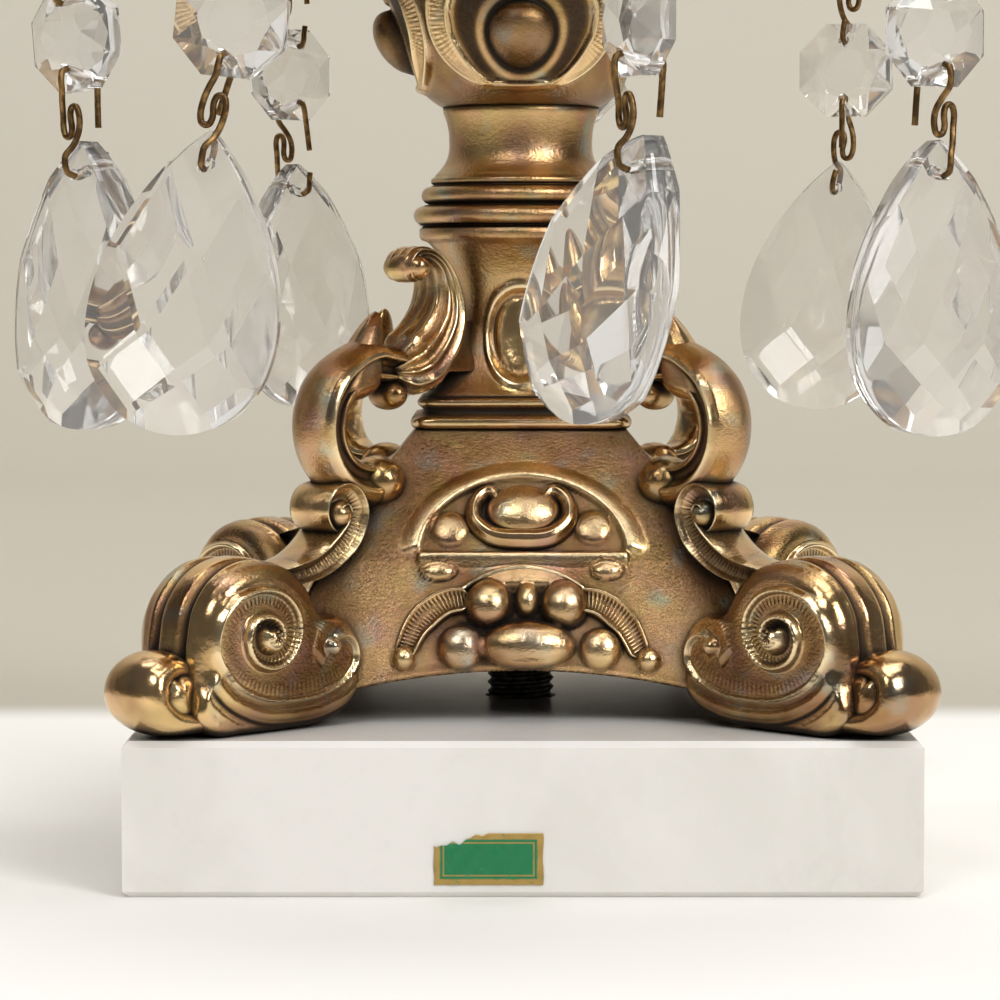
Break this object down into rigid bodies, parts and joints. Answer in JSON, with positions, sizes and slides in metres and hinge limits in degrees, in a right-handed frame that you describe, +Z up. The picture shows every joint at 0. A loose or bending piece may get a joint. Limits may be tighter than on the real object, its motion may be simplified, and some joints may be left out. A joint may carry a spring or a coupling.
{
  "type": "candle holder",
  "caption": "Girandole candle holder: cast brass rococo stem on a square marble plinth, with a cup for one candle and a lobed drip pan hung with strands of cut crystal.",
  "frame": {"origin": "middle of the marble plinth's underside", "axes": "+Z up along the stem, front of the plinth towards -Y"},
  "size_m": [0.1361, 0.1442, 0.1896],
  "materials": {
    "brass": "antiqued satin, dark in the recesses",
    "wire": "drawn wire, bright",
    "marble": "honed",
    "crystal": "cut and polished",
    "steel": "plated, dull"
  },
  "bodies": {
    "stand": {"marble_plinth": "marble", "foot_casting": "brass", "pedestal_casting": "brass", "neck_spool": "brass", "stem_knop": "brass", "knop_collar": "brass", "drip_pan": "brass", "candle_cup": "brass", "threaded_rod": "steel", "base_washer": "steel", "base_nut": "steel", "cup_nut": "steel"},
    "strand_1_upper": {"strand_1_top_link": "wire", "strand_1_upper_octagon": "crystal"},
    "strand_1_middle": {"strand_1_middle_link": "wire", "strand_1_lower_octagon": "crystal"},
    "strand_1_lower": {"strand_1_lower_link": "wire", "strand_1_drop": "crystal"},
    "strand_2_upper": {"strand_2_top_link": "wire", "strand_2_upper_octagon": "crystal"},
    "strand_2_middle": {"strand_2_middle_link": "wire", "strand_2_lower_octagon": "crystal"},
    "strand_2_lower": {"strand_2_lower_link": "wire", "strand_2_drop": "crystal"},
    "strand_3_upper": {"strand_3_top_link": "wire", "strand_3_upper_octagon": "crystal"},
    "strand_3_middle": {"strand_3_middle_link": "wire", "strand_3_lower_octagon": "crystal"},
    "strand_3_lower": {"strand_3_lower_link": "wire", "strand_3_drop": "crystal"},
    "strand_4_upper": {"strand_4_top_link": "wire", "strand_4_upper_octagon": "crystal"},
    "strand_4_middle": {"strand_4_middle_link": "wire", "strand_4_lower_octagon": "crystal"},
    "strand_4_lower": {"strand_4_lower_link": "wire", "strand_4_drop": "crystal"},
    "strand_5_upper": {"strand_5_top_link": "wire", "strand_5_upper_octagon": "crystal"},
    "strand_5_middle": {"strand_5_middle_link": "wire", "strand_5_lower_octagon": "crystal"},
    "strand_5_lower": {"strand_5_lower_link": "wire", "strand_5_drop": "crystal"},
    "strand_6_upper": {"strand_6_top_link": "wire", "strand_6_upper_octagon": "crystal"},
    "strand_6_middle": {"strand_6_middle_link": "wire", "strand_6_lower_octagon": "crystal"},
    "strand_6_lower": {"strand_6_lower_link": "wire", "strand_6_drop": "crystal"},
    "strand_7_upper": {"strand_7_top_link": "wire", "strand_7_upper_octagon": "crystal"},
    "strand_7_middle": {"strand_7_middle_link": "wire", "strand_7_lower_octagon": "crystal"},
    "strand_7_lower": {"strand_7_lower_link": "wire", "strand_7_drop": "crystal"}
  },
  "joints": [
    {"name": "strand_1_rim_swing", "type": "hinge", "parent": "stand", "child": "strand_1_upper", "pos_m": [-0.06212, -0.0251, 0.151], "axis": [-0.3746, 0.9272, 0], "range_deg": [-8, 45]},
    {"name": "strand_1_octagon_swing", "type": "hinge", "parent": "strand_1_upper", "child": "strand_1_middle", "pos_m": [-0.06026, -0.02655, 0.12852], "axis": [-0.6157, -0.788, 0], "range_deg": [-14, 14]},
    {"name": "strand_1_drop_swing", "type": "hinge", "parent": "strand_1_middle", "child": "strand_1_lower", "pos_m": [-0.0584, -0.02801, 0.10605], "axis": [-0.6157, -0.788, 0], "range_deg": [-20, 20]},
    {"name": "strand_2_rim_swing", "type": "hinge", "parent": "stand", "child": "strand_2_upper", "pos_m": [-0.03145, -0.05916, 0.151], "axis": [-0.8829, 0.4695, 0], "range_deg": [-8, 45]},
    {"name": "strand_2_octagon_swing", "type": "hinge", "parent": "strand_2_upper", "child": "strand_2_middle", "pos_m": [-0.03396, -0.05863, 0.12854], "axis": [-0.2079, -0.9781, 0], "range_deg": [-14, 14]},
    {"name": "strand_2_drop_swing", "type": "hinge", "parent": "strand_2_middle", "child": "strand_2_lower", "pos_m": [-0.03646, -0.05809, 0.10609], "axis": [-0.2079, -0.9781, 0], "range_deg": [-15, 25]},
    {"name": "strand_3_rim_swing", "type": "hinge", "parent": "stand", "child": "strand_3_upper", "pos_m": [-0.03551, 0.05682, 0.151], "axis": [0.848, 0.5299, 0], "range_deg": [-8, 45]},
    {"name": "strand_3_octagon_swing", "type": "hinge", "parent": "strand_3_upper", "child": "strand_3_middle", "pos_m": [-0.03551, 0.05682, 0.1284], "axis": [-0.6561, 0.7547, 0], "range_deg": [-14, 14]},
    {"name": "strand_3_drop_swing", "type": "hinge", "parent": "strand_3_middle", "child": "strand_3_lower", "pos_m": [-0.03551, 0.05682, 0.1058], "axis": [-0.6561, 0.7547, 0], "range_deg": [-17, 23]},
    {"name": "strand_4_rim_swing", "type": "hinge", "parent": "stand", "child": "strand_4_upper", "pos_m": [0.01393, -0.06554, 0.151], "axis": [-0.9781, -0.2079, 0], "range_deg": [-8, 45]},
    {"name": "strand_4_octagon_swing", "type": "hinge", "parent": "strand_4_upper", "child": "strand_4_middle", "pos_m": [0.01393, -0.06554, 0.1284], "axis": [-0.8829, -0.4695, 0], "range_deg": [-14, 14]},
    {"name": "strand_4_drop_swing", "type": "hinge", "parent": "strand_4_middle", "child": "strand_4_lower", "pos_m": [0.01393, -0.06554, 0.1058], "axis": [-0.8829, -0.4695, 0], "range_deg": [-24, 16]},
    {"name": "strand_5_rim_swing", "type": "hinge", "parent": "stand", "child": "strand_5_upper", "pos_m": [0.04979, 0.04483, 0.151], "axis": [0.6691, -0.7431, 0], "range_deg": [-8, 45]},
    {"name": "strand_5_octagon_swing", "type": "hinge", "parent": "strand_5_upper", "child": "strand_5_middle", "pos_m": [0.04979, 0.04483, 0.1284], "axis": [0.2588, 0.9659, 0], "range_deg": [-14, 14]},
    {"name": "strand_5_drop_swing", "type": "hinge", "parent": "strand_5_middle", "child": "strand_5_lower", "pos_m": [0.04979, 0.04483, 0.1058], "axis": [0.2588, 0.9659, 0], "range_deg": [-26, 14]},
    {"name": "strand_6_rim_swing", "type": "hinge", "parent": "stand", "child": "strand_6_upper", "pos_m": [0.0528, -0.04125, 0.151], "axis": [-0.6157, -0.788, 0], "range_deg": [-8, 45]},
    {"name": "strand_6_octagon_swing", "type": "hinge", "parent": "strand_6_upper", "child": "strand_6_middle", "pos_m": [0.0528, -0.04125, 0.1284], "axis": [0.5, -0.866, 0], "range_deg": [-14, 14]},
    {"name": "strand_6_drop_swing", "type": "hinge", "parent": "strand_6_middle", "child": "strand_6_lower", "pos_m": [0.0528, -0.04125, 0.1058], "axis": [0.5, -0.866, 0], "range_deg": [-20, 20]},
    {"name": "strand_7_rim_swing", "type": "hinge", "parent": "stand", "child": "strand_7_upper", "pos_m": [0.00932, 0.06635, 0.151], "axis": [0.9903, -0.1392, 0], "range_deg": [-8, 45]},
    {"name": "strand_7_octagon_swing", "type": "hinge", "parent": "strand_7_upper", "child": "strand_7_middle", "pos_m": [0.00932, 0.06635, 0.1284], "axis": [0.1392, 0.9903, 0], "range_deg": [-14, 14]},
    {"name": "strand_7_drop_swing", "type": "hinge", "parent": "strand_7_middle", "child": "strand_7_lower", "pos_m": [0.00932, 0.06635, 0.1058], "axis": [0.1392, 0.9903, 0], "range_deg": [-20, 20]}
  ]
}
